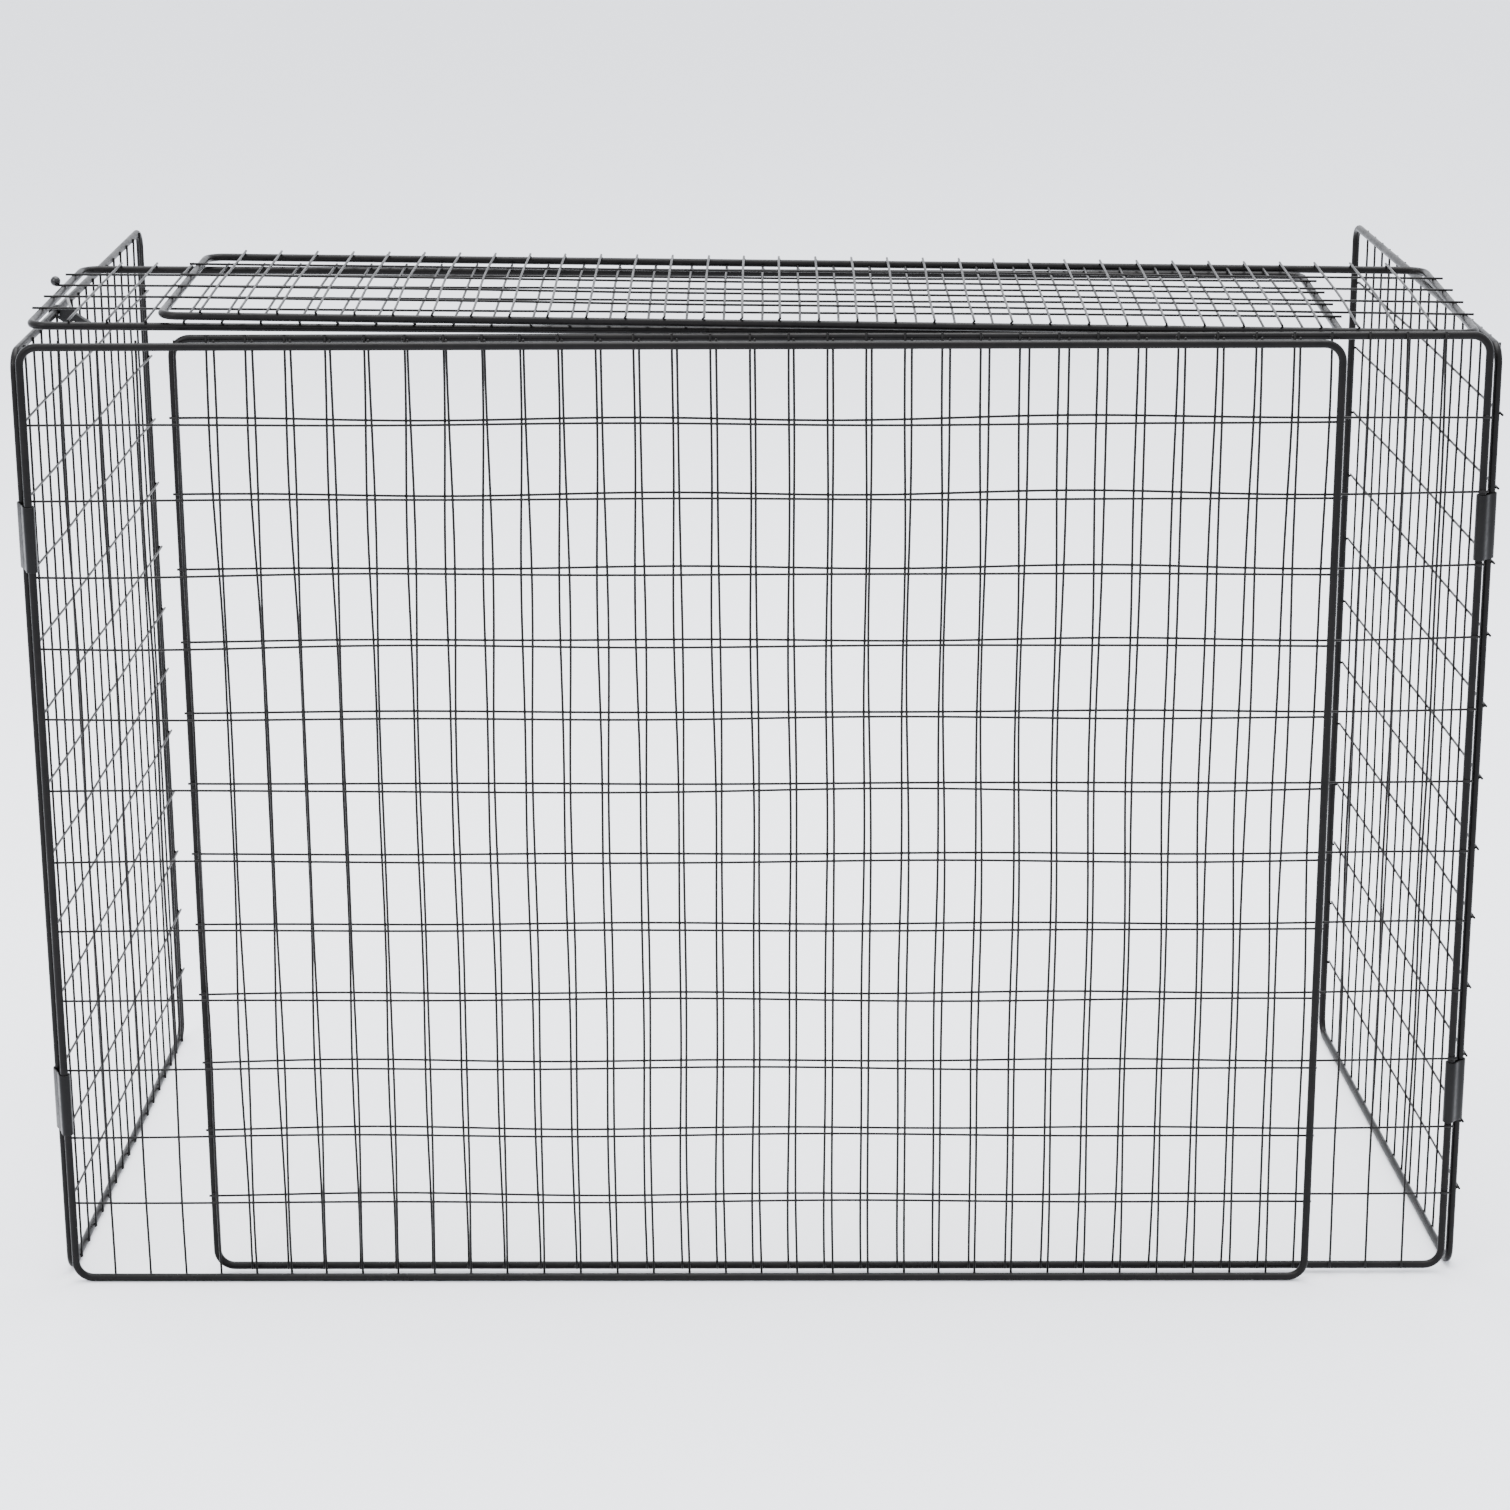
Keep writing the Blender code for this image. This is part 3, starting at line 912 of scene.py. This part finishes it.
    def knob(self) -> Surface:
        """A ball with a slightly raised parting line and a small flat at each end."""
        t = np.radians(np.linspace(6, 174, 29))
        radius = 0.0035 + 0.00007 * np.exp(-(((t - np.pi / 2) / 0.05) ** 2))
        profile = np.stack([-radius * np.cos(t), radius * np.sin(t)], -1)
        points, faces = self.lathe(profile, 28)
        return points[:, [1, 0, 2]] * [1, -1, 1], faces

    def build(self, hook: bpy.types.Material, zinc: bpy.types.Material,
              knob: bpy.types.Material) -> None:
        """Makes the four pieces.

        Args:
            hook: The hook's finish.
            zinc: The strap's and the pin's finish.
            knob: The knob's finish.
        """
        body = piece("lid_clip_hook", *self.hook(), self.place, hook, 35)
        settle(body, "lid_clip", ("lid_clip_body",))
        strap = piece("lid_clip_flat_strap", *self.strap(), self.place, zinc)
        settle(strap, "lid_clip", ("lid_clip_strap",))
        at_pin = self.place @ Matrix.Translation((0.0125, 0, -0.0066))
        pin = piece("lid_clip_domed_pin", *self.pin(), at_pin, zinc)
        settle(pin, "lid_clip", ("lid_clip_pin",))
        low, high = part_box("lid_clip_ball")
        centre = Matrix.Translation((low.x + 0.0035, (low.y + high.y) / 2, (low.z + high.z) / 2))
        ball = piece("lid_clip_knob", *self.knob(), centre, knob)
        settle(ball, "lid_left", ("lid_clip_ball",))


# Studio.


@dataclass(frozen=True)
class Studio:
    """A pale floor, soft light from above and in front, and the camera.

    pitch is how far the camera looks down, yaw and roll how far it is turned, in radians.
    """

    camera_place: tuple[float, float, float] = (0.017273, -2.748638, 1.210737)
    pitch: float = math.radians(18.05)
    yaw: float = 0.0081
    roll: float = -0.0044
    lens: float = 93.5

    def floor(self) -> None:
        """Makes a wide pale floor."""
        mesh = bpy.data.meshes.new("floor")
        near, far, side = -6, 22, 14
        corners = [(-side, near, 0), (side, near, 0), (side, far, 0), (-side, far, 0)]
        mesh.from_pydata(corners, [], [(0, 1, 2, 3)])
        obj = bpy.data.objects.new("floor", mesh)
        bpy.context.scene.collection.objects.link(obj)
        material = bpy.data.materials.new("floor")
        material.use_nodes = True
        shader = material.node_tree.nodes["Principled BSDF"]
        shader.inputs["Base Color"].default_value = (0.83, 0.84, 0.87, 1)
        shader.inputs["Roughness"].default_value = 0.7
        shader.inputs["Specular IOR Level"].default_value = 0.2
        mesh.materials.append(material)

    def lamp(self, name: str, place: tuple, target: tuple, size: float, power: float) -> None:
        """Adds a square soft light that faces a target.

        Args:
            name: Its name.
            place: Where it hangs.
            target: What it faces.
            size: Its side, in metres.
            power: Its power, in watts.
        """
        data = bpy.data.lights.new(name, "AREA")
        data.size = size
        data.energy = power
        obj = bpy.data.objects.new(name, data)
        bpy.context.scene.collection.objects.link(obj)
        facing = (Vector(target) - Vector(place)).to_track_quat("-Z", "Y")
        obj.matrix_world = Matrix.Translation(place) @ facing.to_matrix().to_4x4()

    def build(self) -> None:
        """Makes the floor, the world's light, two soft lights and the camera."""
        self.floor()
        world = bpy.data.worlds.new("studio")
        world.use_nodes = True
        background = world.node_tree.nodes["Background"]
        background.inputs["Color"].default_value = (0.93, 0.95, 1, 1)
        background.inputs["Strength"].default_value = 2.7
        bpy.context.scene.world = world
        self.lamp("overhead", (0.0, 0.4, 3.2), (0, 0, 0.3), 2.6, 190)
        self.lamp("key", (-2.2, -2.4, 2.6), (0, 0, 0.35), 1.6, 70)
        data = bpy.data.cameras.new("camera")
        data.lens = self.lens
        data.sensor_width = 36
        camera = bpy.data.objects.new("camera", data)
        bpy.context.scene.collection.objects.link(camera)
        camera.matrix_world = (
            Matrix.Translation(self.camera_place)
            @ Matrix.Rotation(self.yaw, 4, "Z")
            @ Matrix.Rotation(math.pi / 2 - self.pitch, 4, "X")
            @ Matrix.Rotation(self.roll, 4, "Z")
        )
        bpy.context.scene.camera = camera


# The whole enclosure.


class Enclosure:
    """Every panel, sleeve and clip, placed where the CAD frame has it."""

    def __init__(self) -> None:
        """Makes the finishes and reads the joints' places."""
        effects = Effects()
        self.rod = ROD_COAT.build(effects)
        self.wire = WIRE_COAT.build(effects)
        self.sheet = SHEET_COAT.build(effects)
        self.knob = KNOB_PLASTIC.build(effects)
        self.hook = HOOK_PLASTIC.build(effects)
        self.zinc = ZINC.build(effects)
        joints = frame["record"]["behaviour"]["joints"]
        self.pivot = {joint["name"]: joint["pos_m"] for joint in joints if "pos_m" in joint}

    def upright_place(self, node: str) -> Matrix:
        """A front panel's frame: its lower left rod corner, standing upright."""
        low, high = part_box(node)
        return Matrix.Translation((low.x + FLAT, (low.y + high.y) / 2, low.z + FLAT))

    def side_place(self, joint: str, turned: float) -> Matrix:
        """A side panel's frame: its hinge rod's foot, turned about that rod.

        Args:
            joint: The side panel's hinge.
            turned: How far, in degrees.

        Returns:
            The frame.
        """
        x, y, _ = self.pivot[joint]
        foot = Matrix.Translation((x, y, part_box("front_left_rim")[0].z + FLAT))
        return foot @ Matrix.Rotation(math.radians(turned), 4, "Z")

    def lid_place(self, node: str) -> Matrix:
        """A lid's frame, lying down and falling to the right as its rim's box says.

        Args:
            node: The lid's rim in the CAD.

        Returns:
            The frame, at the lid's left rear rod corner.
        """
        low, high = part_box(node)
        corner = Matrix.Translation((low.x + FLAT, low.y + FLAT, high.z - RIM_RADIUS))
        fall = math.asin((high.z - low.z - 2 * RIM_RADIUS) / FRONT_WIDTH)
        return corner @ Matrix.Rotation(fall, 4, "Y") @ Matrix.Rotation(-math.pi / 2, 4, "X")

    def panels(self) -> list[Panel]:
        """The six panels."""
        front, back = WeldSide.FRONT, WeldSide.BACK
        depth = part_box("lid_right_rim")[1].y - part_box("lid_right_rim")[0].y - 2 * FLAT
        side = {"uprights_outside": False, "ends": (-0.0004, -0.0018, -0.0022)}
        lid = {"pitch": (PITCH_WIDE, PITCH_LID), "ends": (0.003, -0.0002, -0.0002), "bow": 0.0005}
        return [
            Panel("front_left", FRONT_WIDTH, FRONT_HEIGHT, self.upright_place("front_left_rim"),
                  back, 11, (0.0256, 0.05615), wobble=0.0013),
            Panel("front_right", FRONT_WIDTH, FRONT_HEIGHT, self.upright_place("front_right_rim"),
                  front, 23, (0.0246, 0.05615), wobble=0.0015),
            Panel("left_side", SIDE_DEPTH, SIDE_HEIGHT, self.side_place("left_side_hinge", 88.2),
                  front, 37, (0.0215, 0.05615), **side),
            Panel("right_side", SIDE_DEPTH, SIDE_HEIGHT, self.side_place("right_side_hinge", 94.2),
                  front, 41, (0.010, 0.05865), **side),
            Panel("lid_left", FRONT_WIDTH, LOWER_LID_DEPTH, self.lid_place("lid_left_rim"),
                  front, 53, (0.0266, 0.047), bent=(-0.0006, 0.0, 0.0035, 0.0025), **lid),
            Panel("lid_right", FRONT_WIDTH, depth, self.lid_place("lid_right_rim"),
                  front, 67, (0.0266, 0.051), bent=(0.0007, 0.001, 0.005, 0.0032), **lid),
        ]

    def sleeves(self) -> list[Sleeve]:
        """Two sleeves at each front corner, on the front panel's body."""
        found = []
        for hand, body in (("left", "front_left"), ("right", "front_right")):
            low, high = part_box(f"{body}_rim")
            x = low.x + FLAT if hand == "left" else high.x - FLAT
            rod = Vector((x, (low.y + high.y) / 2, 0))
            hinge = Vector((*self.pivot[f"{hand}_side_hinge"][:2], 0))
            found += [Sleeve(f"{hand}_{level}_sleeve", body, rod, hinge)
                      for level in ("upper", "lower")]
        return found

    def clip(self) -> LidClip:
        """The lid clip on the left side's top rod."""
        x, y, z = self.pivot["clip_hinge"]
        return LidClip(Matrix.Translation((x, y, z)) @ Matrix.Rotation(math.radians(-1.8), 4, "Z"))

    def build(self) -> None:
        """Builds every piece in order."""
        for panel in self.panels():
            panel.build(self.rod, self.wire)
        for sleeve in self.sleeves():
            sleeve.build(self.sheet)
        self.clip().build(self.hook, self.zinc, self.knob)


def main() -> None:
    """Builds the enclosure and its studio."""
    logging.basicConfig(level=logging.INFO, format="%(name)s: %(message)s")
    Enclosure().build()
    Studio().build()


if __name__ == "__main__":
    main()
